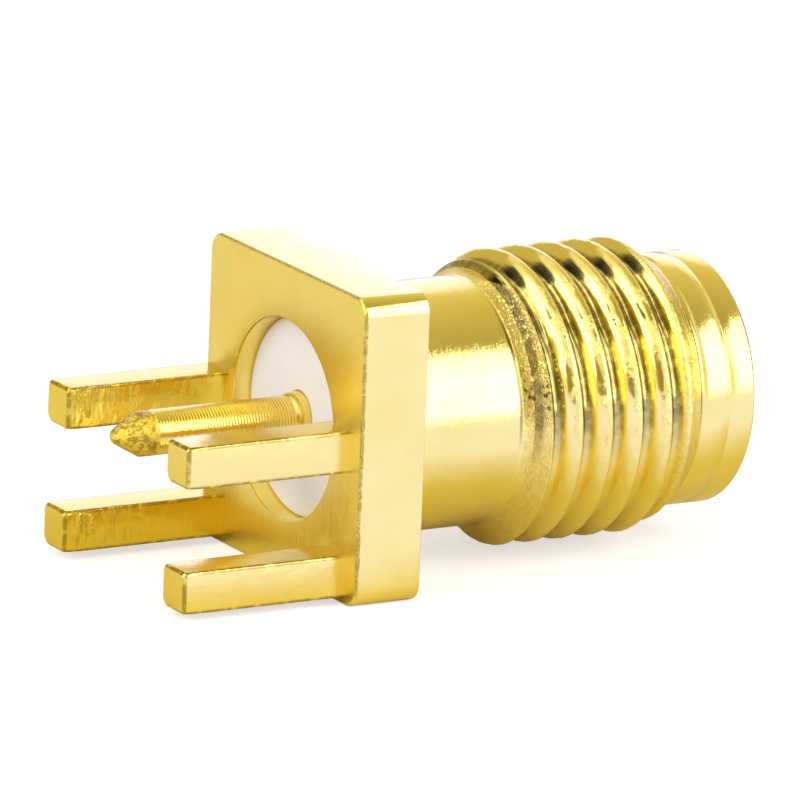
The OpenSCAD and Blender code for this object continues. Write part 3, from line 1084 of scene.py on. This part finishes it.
def card(name, azimuth, elevation, width, height, colour, last=None, distance=CARD_DISTANCE):
    """Glowing card that the camera doesn't see, with a soft border; colour blends to last across it."""
    towards = direction(azimuth, elevation)
    sideways = direction(azimuth + 90, 0)
    upwards = towards.cross(sideways)
    half_w = distance * math.tan(math.radians(width / 2))
    half_h = distance * math.tan(math.radians(height / 2))
    corner_shade = [towards * distance + sideways * (a * half_w) + upwards * (b * half_h)
               for a, b in ((-1, -1), (1, -1), (1, 1), (-1, 1))]
    g = Graph(name)
    g.material.cycles.emission_sampling = "NONE"
    across = g.along(sideways)
    glow = g.add("ShaderNodeEmission")
    g.link(g.blend(g.ramp(across, -half_w, half_w), colour, last or colour), glow.inputs["Color"])
    inner = 1 - CARD_BORDER
    side_fade = g.ramp(g.math("ABSOLUTE", across), half_w * inner, half_w)
    end_fade = g.ramp(g.math("ABSOLUTE", g.along(upwards)), half_h * inner, half_h)
    clear = g.add("ShaderNodeBsdfTransparent")
    mix = g.add("ShaderNodeMixShader")
    g.link(g.most(side_fade, end_fade), mix.inputs["Fac"])
    g.link(glow.outputs[0], mix.inputs[1])
    g.link(clear.outputs[0], mix.inputs[2])
    g.finish(mix.outputs[0])
    board = new_object(name, corner_shade, [[0, 1, 2, 3]], [g.material])
    board.visible_camera = False


def make_world():
    """White where the camera, metal or glass sees it, and a softer light on dull surfaces."""
    world = bpy.data.worlds.new("studio")
    bpy.context.scene.world = world
    world.use_nodes = True
    nodes = world.node_tree.nodes
    links = world.node_tree.links
    seen = nodes.new("ShaderNodeLightPath")
    white = seen.outputs["Is Camera Ray"]
    for kind in ("Is Glossy Ray", "Is Transmission Ray"):
        either = nodes.new("ShaderNodeMath")
        either.operation = "MAXIMUM"
        links.new(white, either.inputs[0])
        links.new(seen.outputs[kind], either.inputs[1])
        white = either.outputs[0]
    mix = nodes.new("ShaderNodeMix")
    mix.data_type = "RGBA"
    mix.inputs[6].default_value = (*ROOM_LIGHT, 1)
    mix.inputs[7].default_value = (1, 1, 1, 1)
    links.new(white, mix.inputs["Factor"])
    links.new(mix.outputs[2], nodes["Background"].inputs["Color"])


def make_floor():
    """Floor that the flange stands on, white for the camera except in the part's shadow. In the metal's
    reflections it shows a painted warm bounce and a painted cool glow.
    """
    z = body_low.z - FLOOR_GAP
    corner_shade = [[a * FLOOR_HALF, b * FLOOR_HALF, z] for a, b in ((-1, -1), (1, -1), (1, 1), (-1, 1))]
    g = Graph("pale_floor")
    g.shader.inputs["Roughness"].default_value = 0.9
    g.shader.inputs["Specular IOR Level"].default_value = 0.0
    seen = g.add("ShaderNodeLightPath")
    by_camera = seen.outputs["Is Camera Ray"]
    by_metal = seen.outputs["Is Glossy Ray"]
    # painted reflection: a warm colour that only the metal sees, for the gold's bounce light on the floor
    g.paint(g.blend(by_metal, FLOOR_COLOUR, FLOOR_IN_METAL_PAINTED_BOUNCE))
    _, y, _, from_axis = g.coordinates()
    # painted light: a cool glow that only the metal sees, further from the part on the near side
    far = g.times(g.ramp(from_axis, *FAR_FLOOR_ZONE), g.ramp(y, *FAR_FLOOR_FADE, 1.0, 0.15))
    glow = g.add("ShaderNodeEmission")
    g.link(g.blend(by_camera, FAR_FLOOR_PAINTED_GLOW, FLOOR_GLOW), glow.inputs["Color"])
    g.link(g.most(by_camera, g.times(by_metal, far)), glow.inputs["Strength"])
    both = g.add("ShaderNodeAddShader")
    g.link(g.shader.outputs[0], both.inputs[0])
    g.link(glow.outputs[0], both.inputs[1])
    g.finish(both.outputs[0])
    floor = new_object("floor", corner_shade, [[0, 1, 2, 3]], [g.material])


def make_studio():
    """Softboxes for the bright bands in the metal, and cards for the dark ones. Angles in degrees."""
    make_world()
    make_floor()
    softbox("front_softbox", -52, 24, 50, 50, 2.4, (0.95, 1.0, 1.4))
    softbox("back_softbox", 50, 14, 40, 42, 0.4, (0.8, 0.6, 2.2))
    softbox("left_softbox", 182, 36, 50, 52, 2.2, (1.0, 1.0, 1.15))
    card("overhead_card", 0, 68, 90, 70, (0.31, 0.27, 0.11), last=(0.92, 0.82, 0.48))
    card("side_card", 103, 25, 56, 50, (0.62, 0.54, 0.28))
    # the dark card stands in front of the side card, and the upper card in front of a lamp
    card("dark_card", 141, 26, 28, 42, (0.03, 0.025, 0.012), distance=430)
    card("upper_card", 197, 45, 24, 18, (0.22, 0.17, 0.05), distance=300)
    card("camera_card", 226, 9, 44, 34, (0.36, 0.31, 0.14))
    card("end_card", 5, 12, 44, 40, (0.30, 0.25, 0.10))


# ---------------------------------------------------------------- the whole

make_camera()
body_materials = [turned_gold(), thread_gold(), flange_gold(), milled_gold()]
body = make_body(body_materials)
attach(body, "root")
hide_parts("body")

insulator = make_insulator(insulator_white())
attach(insulator, "root")
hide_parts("insulator")

contact = make_contact(contact_gold())
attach(contact, "root")
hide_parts("centre_contact")

make_studio()
bpy.context.scene.view_settings.view_transform = "Standard"
